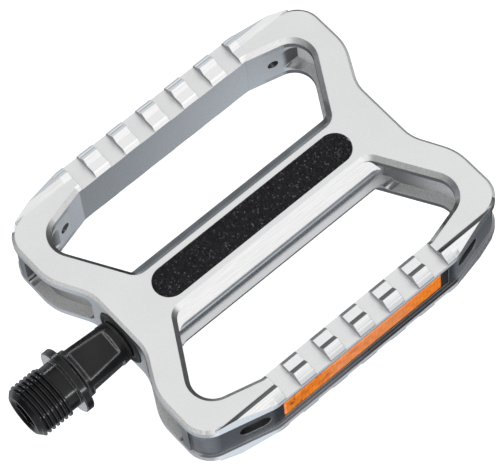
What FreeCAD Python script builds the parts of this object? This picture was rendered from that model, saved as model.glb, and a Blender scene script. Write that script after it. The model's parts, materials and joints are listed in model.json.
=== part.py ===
import FreeCAD, Part
import math, os
from FreeCAD import Vector as V

# Bicycle platform pedal with toothed rails, grip tape, reflectors and a bush-and-bearing spindle.
# Origin: spindle axis, on the collar face that seats against the crank arm.
# +Y runs outboard along the spindle, +Z is normal to the platform, +X is towards the front rail.
# All pieces but the spindle are drawn in the platform frame, centred on the platform,
# and moved outboard by PLATFORM_Y on export.
PLATFORM_Y = 60.3

# Platform outline
HALF_T = 8.5                        # half thickness of the flat plates
END_Y, WAIST_Y = 48.15, 42.6        # half length at the ends, and at the waist over the spindle
WAIST_X, SHOULDER_X = 9.8, 20.2
SIDE_X, SIDE_Y = 41.5, 28.5         # half width over the rails, where they start to run inwards
SLANT = 0.27                        # inward run of the rails per mm of length
EDGE = 0.8                          # plate edge chamfer
BARREL_R = 8.85                     # bearing barrel inside the web
CHANNEL_Z, CHANNEL_D = 5.8, 0.7     # side channel half height, depth

# Grip tape and its recess
TAPE_W, TAPE_L = 4.4, 30.7          # half width, half length
TAPE_D, TAPE_T = 0.5, 0.55          # recess depth, tape thickness

# Reflector slot
SLOT_Z, SLOT_Y, SLOT_BACK = 3.7, 26.2, 37.9

# Spindle stations shared with the bores, and the bearings (platform frame along Y)
SEAL_R, BUSH_R, STUD_R = 5.2, 5.0, 3.0
BORE_R, MOUTH_R = 6.2, 7.5          # long bore, wider bore at both ends
BUSH_Y0, BUSH_Y1 = -39.4, -25.4
BRG_IR, BRG_OR, BRG_W = 4.0, 7.0, 4.0
BRG1_Y, BRG2_Y = 22.0, 30.0         # inboard face of each bearing
BRG_END = BRG2_Y + BRG_W


# ---------------------------------------------------------------- shape helpers
def offset_corners(corners, depth):
    """Move the sides of a counter-clockwise corner list (x, y, radius) inwards by depth."""
    sides = []
    for i, (x0, y0, _) in enumerate(corners):
        x1, y1, _ = corners[(i + 1) % len(corners)]
        along = V(x1 - x0, y1 - y0, 0).normalize()
        sides.append((V(x0, y0, 0) + V(-along.y, along.x, 0) * depth, along))
    moved = []
    for i, (_, _, radius) in enumerate(corners):
        start, before = sides[i - 1]
        end, after = sides[i]
        turn = before.cross(after).z
        corner = start + before * ((end - start).cross(after).z / turn)
        radius += -depth if turn > 0 else depth
        moved.append((corner.x, corner.y, max(radius, 0.05)))
    return moved


def round_wire(corners, z):
    """Closed wire at height z from corners (x, y, radius) with tangent arcs."""
    count = len(corners)
    points = [V(x, y, z) for x, y, _ in corners]
    arcs = []
    for i, corner in enumerate(points):
        radius = corners[i][2]
        back = (points[i - 1] - corner).normalize()
        ahead = (points[(i + 1) % count] - corner).normalize()
        half_angle = math.acos(max(-1, min(1, back.dot(ahead)))) / 2
        reach = radius / math.tan(half_angle)
        bisector = (back + ahead).normalize()
        middle = corner + bisector * (radius / math.sin(half_angle)) - bisector * radius
        arcs.append((corner + back * reach, middle, corner + ahead * reach))
    edges = []
    for i, arc in enumerate(arcs):
        edges.append(Part.Arc(*arc).toShape())
        next_start = arcs[(i + 1) % count][0]
        if (next_start - arc[2]).Length > 1e-6:
            edges.append(Part.makeLine(arc[2], next_start))
    return Part.Wire(edges)


def slab(corners, z0, z1):
    return Part.Face(round_wire(corners, z0)).extrude(V(0, 0, z1 - z0))


def frustum(corners0, z0, corners1, z1):
    return Part.makeLoft([round_wire(corners0, z0), round_wire(corners1, z1)], True, True)


def stadium(half_w, half_l, z0, z1):
    radius = half_w - 0.001     # just short of a full half circle
    signs = [(1, 1), (-1, 1), (-1, -1), (1, -1)]
    return slab([(i * half_w, j * half_l, radius) for i, j in signs], z0, z1)


def polygon_face(points):
    return Part.Face(Part.makePolygon(points + points[:1]))


def prism_y(points, y0, y1):
    """Prism along Y on (x, z) points."""
    return polygon_face([V(x, y0, z) for x, z in points]).extrude(V(0, y1 - y0, 0))


def box(x0, x1, y0, y1, z0, z1):
    return Part.makeBox(x1 - x0, y1 - y0, z1 - z0, V(x0, y0, z0))


def round_box_y(x0, x1, z0, z1, radius, y0, y1):
    """Box with its four edges along Y rounded."""
    block = box(x0, x1, y0, y1, z0, z1)
    along_y = [e for e in block.Edges if abs(e.Vertexes[0].Y - e.Vertexes[1].Y) > 1e-3]
    return block.makeFillet(radius, along_y)


def mirror_x(shape):
    return shape.mirror(V(0, 0, 0), V(1, 0, 0))


def mirror_y(shape):
    return shape.mirror(V(0, 0, 0), V(0, 1, 0))


def mirror_z(shape):
    return shape.mirror(V(0, 0, 0), V(0, 0, 1))


def half_turn(shape):
    return mirror_x(mirror_y(shape))


def cyl(radius, y0, y1):
    return Part.makeCylinder(radius, y1 - y0, V(0, y0, 0), V(0, 1, 0))


def tube(inner_r, outer_r, y0, y1):
    return cyl(outer_r, y0, y1).cut(cyl(inner_r, y0 - 1, y1 + 1))


def cone(radius0, radius1, y0, y1):
    return Part.makeCone(radius0, radius1, y1 - y0, V(0, y0, 0), V(0, 1, 0))


def torus(ring_r, tube_r, y):
    return Part.makeTorus(ring_r, tube_r, V(0, y, 0), V(0, 1, 0))


def hexagon_y(across_flats, y0, y1):
    radius = across_flats / math.sqrt(3.0)
    angles = [math.radians(60 * k + 30) for k in range(6)]
    return prism_y([(radius * math.cos(a), radius * math.sin(a)) for a in angles], y0, y1)


# ---------------------------------------------------------------- platform blank
# Corners of one quarter of the outline: x, y, radius
QUARTER = [
    (WAIST_X, WAIST_Y, 10.0),
    (SHOULDER_X, END_Y, 14.0),
    (SIDE_X - SLANT * (END_Y - SIDE_Y), END_Y, 7.0),
    (SIDE_X, SIDE_Y, 8.0),
]
OUTLINE = ([(x, y, r) for x, y, r in reversed(QUARTER)]
           + [(-x, y, r) for x, y, r in QUARTER]
           + [(-x, -y, r) for x, y, r in reversed(QUARTER)]
           + [(x, -y, r) for x, y, r in QUARTER])

# Section of the toothed ridge on a rail: x, z
RIDGE = [(37.3, HALF_T), (38.8, 9.7), (40.9, 8.0), (SIDE_X, 7.15), (SIDE_X, 5.0), (37.3, 5.0)]


def platform_blank():
    """Chamfered plate with a ridge on both faces of each rail, and the bearing barrel."""
    flat_z = HALF_T - EDGE
    core = slab(OUTLINE, -flat_z, flat_z)
    edge_top = frustum(OUTLINE, flat_z, offset_corners(OUTLINE, EDGE), HALF_T)
    body = core.fuse([edge_top, mirror_z(edge_top)])
    ridge = prism_y(RIDGE, -60, 60).common(slab(OUTLINE, -12, 12))
    body = body.fuse([ridge, mirror_x(ridge), mirror_z(ridge), mirror_x(mirror_z(ridge))])
    barrel = cyl(BARREL_R, -WAIST_Y, WAIST_Y).common(box(-12, 12, -50, 50, -flat_z, flat_z))
    return body.fuse(barrel).removeSplitter()


# ---------------------------------------------------------------- windows and pockets
WINDOW_CH = 1.2                     # window chamfer
WEB_X = 5.9                         # half width of the flat strip on the centre web
LEDGE = 3.5                         # 45 degree ledge along both sides of the web
WINDOW_X, WINDOW_Y = 34.93, 26.8    # window corner on the rail side
BEAM_X, BEAM_Y = 15.5, 36.8         # point on the window edge of the end beam
BEAM_SLOPE = math.tan(math.radians(30.0))
POCKET_Z = 5.7                      # half height of the pockets between the plates
OUTER_D, INNER_D = 3.0, 2.8         # pocket depths, outer side and window side
RELIEF_Z = 4.2                      # half height of the relief along the web


def beam_y(x):
    return BEAM_Y + BEAM_SLOPE * (x - BEAM_X)


def window_corners(web_x, web_radius):
    """Outer contour of the +X window, with the given web side."""
    # where the beam line meets the slanted rail line
    meet_x = ((WINDOW_X - SLANT * (BEAM_Y - BEAM_SLOPE * BEAM_X - WINDOW_Y))
              / (1 + SLANT * BEAM_SLOPE))
    half = [(web_x, beam_y(web_x), web_radius), (meet_x, beam_y(meet_x), 6.9),
            (WINDOW_X, WINDOW_Y, 2.2)]
    return half[::-1] + [(x, -y, r) for x, y, r in half]


WINDOW = window_corners(WEB_X, 4.0)
UNDERCUT = offset_corners(WINDOW, WINDOW_CH - INNER_D)


def window_cuts():
    """Through window, stepped out to the ledges, with chamfered rims."""
    inner = offset_corners(WINDOW, WINDOW_CH)
    flare = 0.3     # the chamfer runs this far past the plate face
    wide = offset_corners(WINDOW, -flare)
    low = offset_corners(window_corners(WEB_X + LEDGE - WINDOW_CH, 4.7), WINDOW_CH)
    near_x, far_x, top_z = WEB_X - 1.0, WEB_X + LEDGE + 3.0, HALF_T + 2.5
    wedge = prism_y([(near_x, HALF_T + 1.0), (far_x, HALF_T - LEDGE - 3.0),
                     (far_x, top_z), (near_x, top_z)], -45, 45)
    ledge = slab(inner, -11, 11).common(wedge)
    rim = frustum(inner, HALF_T - WINDOW_CH, wide, HALF_T + flare)
    above = slab(wide, HALF_T + flare, HALF_T + 3)
    return [slab(low, -11, 11), ledge, mirror_z(ledge), rim, mirror_z(rim),
            above, mirror_z(above)]


def web_relief():
    """Web side cut back to the barrel."""
    zone = box(4.0, 10.9, -46, 46, -RELIEF_Z, RELIEF_Z)
    return slab(UNDERCUT, -RELIEF_Z, RELIEF_Z).common(zone).cut(cyl(BARREL_R, -50, 50))


def window_pocket():
    """Pocket in an end beam, open to the window."""
    zone = round_box_y(9.6, 31.2, -POCKET_Z, POCKET_Z, 2.9, 29.0, 46.0)
    return slab(UNDERCUT, -POCKET_Z, POCKET_Z).common(zone).cut(cyl(BARREL_R, -50, 50))


def outer_pocket():
    """Pocket in an end beam, open to the outside."""
    inside = slab(offset_corners(OUTLINE, OUTER_D), -POCKET_Z - 1, POCKET_Z + 1)
    zone = round_box_y(10.0, 29.4, -POCKET_Z, POCKET_Z, 2.4, 36.0, 52.0)
    return slab(OUTLINE, -POCKET_Z, POCKET_Z).cut(inside).common(zone)


def side_channel():
    """Shallow channel round the outside of a rail."""
    outside = slab(offset_corners(OUTLINE, -1.0), -CHANNEL_Z, CHANNEL_Z)
    inside = slab(offset_corners(OUTLINE, CHANNEL_D), -CHANNEL_Z - 1, CHANNEL_Z + 1)
    return outside.cut(inside).common(box(31.6, 44, -52, 52, -CHANNEL_Z, CHANNEL_Z))


# ---------------------------------------------------------------- rail details
PITCH, TOOTH = 9.34, 4.42           # tooth pitch, tooth length
GAP_COUNT, GAP_Z = 6, 7.2           # gaps between teeth, height of their floor
HOLE_X, HOLE_Y, HOLE_R = 31.6, 33.6, 1.5
RECESS_Y, RECESS_W, RECESS_L, RECESS_D = 33.9, 2.2, 4.1, 2.2


def oblique_cuts():
    """Hole square to the slanted end of a rail, and the oblong counterbore it opens into."""
    normal = V(1.0, SLANT, 0).normalize()
    hole = Part.makeCylinder(HOLE_R, 14, V(HOLE_X, HOLE_Y, 0) - normal * 4, normal)
    wall_x = SIDE_X - CHANNEL_D * math.hypot(1, SLANT) - SLANT * (RECESS_Y - SIDE_Y)
    recess = stadium(RECESS_W, RECESS_L, 0, 6)
    turn = FreeCAD.Rotation(V(0, 0, -1), V(-normal.y, normal.x, 0), normal, "ZYX")
    recess.Placement = FreeCAD.Placement(V(wall_x, RECESS_Y, 0) - normal * RECESS_D, turn)
    return [hole, recess]


def tooth_gaps():
    """Gaps between the teeth of the +X rail, upper face, widening upwards."""
    floor = (PITCH - TOOTH) / 2 - 0.18
    mouth = (PITCH - TOOTH) / 2 + 0.12
    gaps = []
    for k in range(GAP_COUNT):
        mid = (k - (GAP_COUNT - 1) / 2) * PITCH
        section = [V(32, mid - floor, GAP_Z), V(32, mid + floor, GAP_Z),
                   V(32, mid + mouth, 12), V(32, mid - mouth, 12)]
        gaps.append(polygon_face(section).extrude(V(12, 0, 0)))
    return gaps


def bore_cuts():
    """Bores along the spindle axis, with a small flare at each mouth."""
    flare_r = MOUTH_R + 0.15
    return [
        cyl(BORE_R, -60, 60),
        cyl(MOUTH_R, -60, -WAIST_Y + 3.0),
        cyl(BRG_OR, BRG1_Y, 60),
        cyl(MOUTH_R, BRG_END, 60),
        cone(flare_r, MOUTH_R, -WAIST_Y - 0.01, -WAIST_Y + 0.15),
        cone(MOUTH_R, flare_r, WAIST_Y - 0.15, WAIST_Y + 0.01),
    ]


def platform_body():
    slot = round_box_y(SLOT_BACK, 44, -SLOT_Z, SLOT_Z, 0.1, -SLOT_Y, SLOT_Y)
    gaps = tooth_gaps()
    cuts = []
    for shape in (window_cuts() + [web_relief(), slot, side_channel()]
                  + gaps + [mirror_z(gap) for gap in gaps]):
        cuts += [shape, mirror_x(shape)]
    for shape in [window_pocket(), outer_pocket()] + oblique_cuts():
        cuts += [shape, mirror_x(shape), mirror_y(shape), half_turn(shape)]
    body = platform_blank().cut(cuts)
    tape_recess = stadium(TAPE_W, TAPE_L, HALF_T - TAPE_D, HALF_T + 2)
    body = body.cut([tape_recess, mirror_z(tape_recess)])
    return body.cut(bore_cuts()).removeSplitter()


# ---------------------------------------------------------------- grip tape and reflectors
TAPE_GAP = 0.08
CARRIER_GAP, CARRIER_T = 0.15, 0.8
LENS_Y0, LENS_Y1, LENS_GAP = -26.05, 24.3, 0.22
LENS_FACE = SIDE_X - CHANNEL_D


def grip_tape():
    floor_z = HALF_T - TAPE_D
    return stadium(TAPE_W - TAPE_GAP, TAPE_L - TAPE_GAP, floor_z, floor_z + TAPE_T)


def reflector_carrier():
    """Back plate with a block at the outboard end of the lens."""
    half_y, half_z = SLOT_Y - CARRIER_GAP, SLOT_Z - CARRIER_GAP
    plate = box(SLOT_BACK, SLOT_BACK + CARRIER_T, -half_y, half_y, -half_z, half_z)
    block = box(SLOT_BACK, LENS_FACE - 0.25, LENS_Y1 + 0.1, half_y, -half_z, half_z)
    return plate.fuse(block).removeSplitter()


def reflector_lens():
    half_z = SLOT_Z - LENS_GAP
    lens = box(SLOT_BACK + CARRIER_T, LENS_FACE, LENS_Y0, LENS_Y1, -half_z, half_z)
    face_edges = [e for e in lens.Edges if abs(e.CenterOfMass.x - LENS_FACE) < 1e-4]
    return lens.makeChamfer(0.55, face_edges)


# ---------------------------------------------------------------- spindle
# Built directly in the frame of the crank seat.
THREAD_R, THREAD_PITCH = 7.14, 1.27     # 9/16 in x 20 tpi
THREAD_ROOT = THREAD_R - 0.76
ROOT_HALF = 0.06                        # half width of the groove at its root
THREAD_END = -12.5
NECK_Y, NECK_R = -3.1, 6.45
COLLAR_R, COLLAR_T, COLLAR_CH = 8.87, 2.2, 0.25
SHANK_R0, SHANK_R1, SHANK_Y1 = 6.75, 5.55, 16.4
FLAT_Z, FLAT_INSET = 5.05, 2.2          # shank flats: height at the collar end, end inset
FLAT_TAPER = 2.2                        # degrees
FLAT_TURN = 14.0                        # degrees about the spindle, from square with platform
SHAFT_R = 4.75                          # between bush and bearings
HEX_AF = 8.0                            # hex sockets in spindle and end cap


def helix_groove():
    """Right-hand helical groove, 60 degree flanks, running out at both ends."""
    helix = Part.makeHelix(THREAD_PITCH, 7.9 * THREAD_PITCH, THREAD_R)
    outer_r = THREAD_R + 0.1
    half_w = ROOT_HALF + (outer_r - THREAD_ROOT) * math.tan(math.radians(30.0))
    start = V(THREAD_ROOT, 0, -ROOT_HALF)
    profile = Part.makePolygon([start, V(outer_r, 0, -half_w), V(outer_r, 0, half_w),
                                V(THREAD_ROOT, 0, ROOT_HALF), start])
    groove = Part.Wire(helix).makePipeShell([profile], True, True)
    groove.rotate(V(0, 0, 0), V(1, 0, 0), -90)
    groove.rotate(V(0, 0, 0), V(0, 1, 0), 37)
    groove.translate(V(0, THREAD_END - 0.4, 0))
    return groove


def ring_grooves():
    """Plain ring grooves at the pitch of the thread."""
    rings = []
    outer_r = THREAD_R + 0.3
    y = THREAD_END + 0.9
    while y < NECK_Y:
        face = polygon_face([V(THREAD_ROOT, y - ROOT_HALF, 0), V(outer_r, y - 0.7, 0),
                             V(outer_r, y + 0.7, 0), V(THREAD_ROOT, y + ROOT_HALF, 0)])
        rings.append(face.revolve(V(0, 0, 0), V(0, 1, 0), 360))
        y += THREAD_PITCH
    return rings


def split_round(shape, count, y0, length):
    """Same solid, its wall divided by radial planes so each thread crest face stays short."""
    def rim(k):
        angle = 2 * math.pi * k / count + 0.1
        return V(20 * math.cos(angle), y0, 20 * math.sin(angle))

    sectors = []
    for k in range(count):
        face = polygon_face([V(0, y0, 0), rim(k), rim(k + 1)])
        sectors.append(shape.common(face.extrude(V(0, length, 0))))
    joined = sectors[0].fuse(sectors[1:])
    # keep the undivided solid if the sectors do not join up to the same one
    same = (joined.isValid() and len(joined.Solids) == 1
            and abs(joined.Volume - shape.Volume) < 0.5)
    return joined if same else shape


def threaded_end():
    tip_y = THREAD_END + 1.5
    tip = cyl(20, THREAD_END - 1, tip_y).cut(cone(5.6, THREAD_R + 0.02, THREAD_END, tip_y))
    blank = cyl(THREAD_R, THREAD_END, NECK_Y).cut(tip)
    threaded = blank.cut(helix_groove())
    # the helical cut can fail or remove nothing: ring grooves then stand in for it
    helical = (threaded.isValid() and len(threaded.Solids) >= 1
               and threaded.Volume < blank.Volume * 0.97)
    if not helical:
        threaded = blank.cut(ring_grooves())
    threaded = max(threaded.Solids, key=lambda solid: solid.Volume)
    if helical:
        threaded = split_round(threaded, 8, THREAD_END - 1, NECK_Y - THREAD_END + 2)
    return threaded


def shank():
    """Tapered shank with four long flats."""
    flat_y0 = COLLAR_T + FLAT_INSET
    flat = round_box_y(-6.5, 6.5, FLAT_Z, 9.0, 0.5, flat_y0, SHANK_Y1 - FLAT_INSET)
    flat.rotate(V(0, flat_y0, FLAT_Z), V(1, 0, 0), -FLAT_TAPER)
    side_flat = flat.copy()
    side_flat.rotate(V(0, 0, 0), V(0, 1, 0), 90)
    side_flat.translate(V(0.55, 0, 0))
    flats = [flat, mirror_z(flat), side_flat, mirror_x(side_flat)]
    for cutter in flats:
        cutter.rotate(V(0, 0, 0), V(0, 1, 0), FLAT_TURN)
    return cone(SHANK_R0, SHANK_R1, COLLAR_T, SHANK_Y1).cut(flats)


def spindle():
    bush_start = PLATFORM_Y + BUSH_Y0
    bush_end = PLATFORM_Y + BUSH_Y1
    shoulder = PLATFORM_Y + BRG1_Y
    seat_end = PLATFORM_Y + BRG_END + 0.2
    stud_end = PLATFORM_Y + 39.0
    chamfer_r, chamfer_y = COLLAR_R - COLLAR_CH, COLLAR_T - COLLAR_CH
    collar = cyl(COLLAR_R, COLLAR_CH, chamfer_y).fuse([
        cone(chamfer_r, COLLAR_R, 0, COLLAR_CH),
        cone(COLLAR_R, chamfer_r, chamfer_y, COLLAR_T)])
    plain = cyl(NECK_R, NECK_Y - 0.3, 0.2).fuse([
        collar,
        shank(),
        cone(SHANK_R0 + 0.9, SHANK_R0, COLLAR_T - 0.05, COLLAR_T + 0.9),
        cone(SHANK_R1, SEAL_R, SHANK_Y1, SHANK_Y1 + 0.35),
        cyl(SEAL_R, SHANK_Y1 + 0.3, bush_start - 0.1),
        cyl(BUSH_R, bush_start - 0.15, bush_end + 0.6),
        cone(BUSH_R, SHAFT_R, bush_end + 0.5, bush_end + 6),
        cyl(SHAFT_R, bush_end + 5.9, shoulder),
        cyl(BRG_IR, shoulder - 0.1, seat_end),
        cyl(STUD_R, seat_end - 0.1, stud_end - 0.4),
        cone(STUD_R, STUD_R - 0.4, stud_end - 0.4, stud_end),
    ]).removeSplitter()
    socket = hexagon_y(HEX_AF, THREAD_END - 1, THREAD_END + 9.5)
    socket_mouth = cone(5.1, 4.3, THREAD_END - 0.01, THREAD_END + 0.8)
    return threaded_end().fuse(plain).cut([socket, socket_mouth])


# ---------------------------------------------------------------- seal and bearings
BALL_R, BALL_RING_R, BALL_COUNT = 0.75, 5.5, 13
RACE_R = 0.77
SHIELD_T, SHIELD_INSET = 0.32, 0.1


def lip_seal():
    face_y = -WAIST_Y - 0.45
    seal = cyl(MOUTH_R, face_y, -WAIST_Y + 2.9).cut(cyl(SEAL_R + 0.05, -60, 0))
    return seal.cut(torus(6.35, 0.62, face_y))


def bearing(y0):
    """Pieces of a ball bearing with its inboard face at y0, by name ending."""
    y1 = y0 + BRG_W
    mid = y0 + BRG_W / 2
    race = torus(BALL_RING_R, RACE_R, mid)
    outer = tube(6.02, BRG_OR, y0, y1)
    outer = outer.cut([race, cyl(6.4, y0 - 1, y0 + 0.45), cyl(6.4, y1 - 0.45, y1 + 1)])
    balls, pockets = [], []
    for k in range(BALL_COUNT):
        angle = 2 * math.pi * k / BALL_COUNT
        out = V(math.cos(angle), 0, math.sin(angle))
        centre = V(0, mid, 0) + out * BALL_RING_R
        balls.append(Part.makeSphere(BALL_R, centre))
        pockets.append(Part.makeCylinder(BALL_R + 0.03, 2.0, centre - out, out))
    seals = [tube(5.03, 6.38, y, y + SHIELD_T)
             for y in (y0 + SHIELD_INSET, y1 - SHIELD_INSET - SHIELD_T)]
    return {
        "outer_ring": outer,
        "inner_ring": tube(BRG_IR, 4.98, y0, y1).cut(race),
        "balls": Part.makeCompound(balls),
        "cage": tube(5.22, 5.78, mid - 1.05, mid + 1.05).cut(pockets),
        "seals": Part.makeCompound(seals),
    }


# ---------------------------------------------------------------- locknut and end cap
WASHER_T = 0.8
NUT_AF, NUT_T, NUT_CORNER_R = 10.0, 3.8, 9.2
CAP_R = 7.48
CAP_Y1 = WAIST_Y - 0.3
ORING_Y = 40.75


def lock_washer():
    washer = tube(3.1, 4.9, BRG_END, BRG_END + WASHER_T)
    return washer.cut(cyl(BRG_IR + 0.02, 0, BRG_END + 0.22))


def locknut():
    """Hexagon nut with conical chamfers on both faces."""
    y0 = BRG_END + WASHER_T
    y1 = y0 + NUT_T
    nut_r = NUT_AF / 2
    nut = hexagon_y(NUT_AF, y0, y1)
    nut = nut.common(cone(nut_r, NUT_CORNER_R, y0, y0 + 2.4)
                     .fuse(cyl(NUT_CORNER_R, y0 + 2.4, y0 + 4)))
    nut = nut.common(cyl(NUT_CORNER_R, y0, y0 + 1.4)
                     .fuse(cone(NUT_CORNER_R, nut_r, y0 + 1.4, y1)))
    return nut.cut(cyl(STUD_R, 0, 60))


def end_cap():
    """Hollow cap with a hex socket outboard and a groove for the O-ring."""
    cap = cyl(CAP_R, BRG_END, CAP_Y1).cut([
        cyl(6.3, BRG_END - 1, 39.4),
        hexagon_y(HEX_AF, 40.2, 50),
        cone(4.3, 5.0, CAP_Y1 - 0.5, CAP_Y1 + 0.01)])
    cap = cap.cut(tube(6.7, 8.0, ORING_Y - 0.55, ORING_Y + 0.55))
    rim_y = CAP_Y1 - 0.4
    return cap.cut(cyl(9, rim_y, CAP_Y1 + 1).cut(cone(CAP_R, 7.1, rim_y, CAP_Y1)))


# ---------------------------------------------------------------- export
def export(name, shape):
    # heals a piece that its booleans left invalid
    if not shape.isValid():
        shape.fix(1e-5, 1e-5, 1e-4)
    shape.exportStep("parts/%s.step" % name)


tape, carrier, lens = grip_tape(), reflector_carrier(), reflector_lens()
platform_pieces = {
    "platform_body": platform_body(),
    "grip_tape_top": tape,
    "grip_tape_bottom": mirror_z(tape),
    "reflector_carrier_front": carrier,
    "reflector_carrier_rear": half_turn(carrier),
    "reflector_lens_front": lens,
    "reflector_lens_rear": half_turn(lens),
    "inboard_lip_seal": lip_seal(),
    "inboard_bush": tube(BUSH_R + 0.03, BORE_R, BUSH_Y0, BUSH_Y1),
    "bearing_spacer": tube(BRG_IR + 0.02, 4.9, BRG1_Y + BRG_W, BRG2_Y),
    "lock_washer": lock_washer(),
    "locknut": locknut(),
    "end_cap": end_cap(),
    "end_cap_oring": torus(7.09, 0.36, ORING_Y),
}
for place, bearing_y in (("inner", BRG1_Y), ("outer", BRG2_Y)):
    for ending, piece in bearing(bearing_y).items():
        platform_pieces["%s_bearing_%s" % (place, ending)] = piece

os.makedirs("parts", exist_ok=True)
export("spindle", spindle())
for piece_name, piece in platform_pieces.items():
    moved_piece = piece.copy()
    moved_piece.translate(V(0, PLATFORM_Y, 0))
    export(piece_name, moved_piece)
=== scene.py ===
# A platform pedal on a pale studio floor. The spindle lies along Y: the crank end is at low y
# and the end cap at high y. The front reflector faces +X, the rear one -X, and the two grip
# tapes face +Z and -Z. The platform is mirrored about x = 0, y = PLATFORM_Y and z = 0.
import json
import math
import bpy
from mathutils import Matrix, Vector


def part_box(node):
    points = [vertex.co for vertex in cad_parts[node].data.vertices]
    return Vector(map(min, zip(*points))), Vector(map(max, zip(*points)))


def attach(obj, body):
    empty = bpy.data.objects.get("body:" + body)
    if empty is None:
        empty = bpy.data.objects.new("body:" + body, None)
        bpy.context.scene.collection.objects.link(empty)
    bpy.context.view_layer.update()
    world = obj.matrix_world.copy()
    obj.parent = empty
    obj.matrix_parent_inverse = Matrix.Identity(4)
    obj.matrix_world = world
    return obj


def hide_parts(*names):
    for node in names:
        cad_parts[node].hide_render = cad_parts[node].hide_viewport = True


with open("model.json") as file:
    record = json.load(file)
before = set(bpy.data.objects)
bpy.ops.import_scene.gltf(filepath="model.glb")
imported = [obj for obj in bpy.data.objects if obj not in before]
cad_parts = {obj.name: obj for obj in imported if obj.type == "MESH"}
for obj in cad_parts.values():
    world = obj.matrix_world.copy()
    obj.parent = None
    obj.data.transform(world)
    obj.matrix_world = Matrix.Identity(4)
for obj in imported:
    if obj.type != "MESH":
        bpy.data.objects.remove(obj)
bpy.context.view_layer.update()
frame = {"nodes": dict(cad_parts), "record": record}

from types import SimpleNamespace

import bmesh
import bpy
import numpy as np
from mathutils import Matrix, Vector

MM = 0.001
PLATFORM_Y = 0.0603              # platform centre on the spindle axis
PLATFORM_Y_MM = PLATFORM_Y / MM
FLOOR_Z = -0.062


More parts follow.
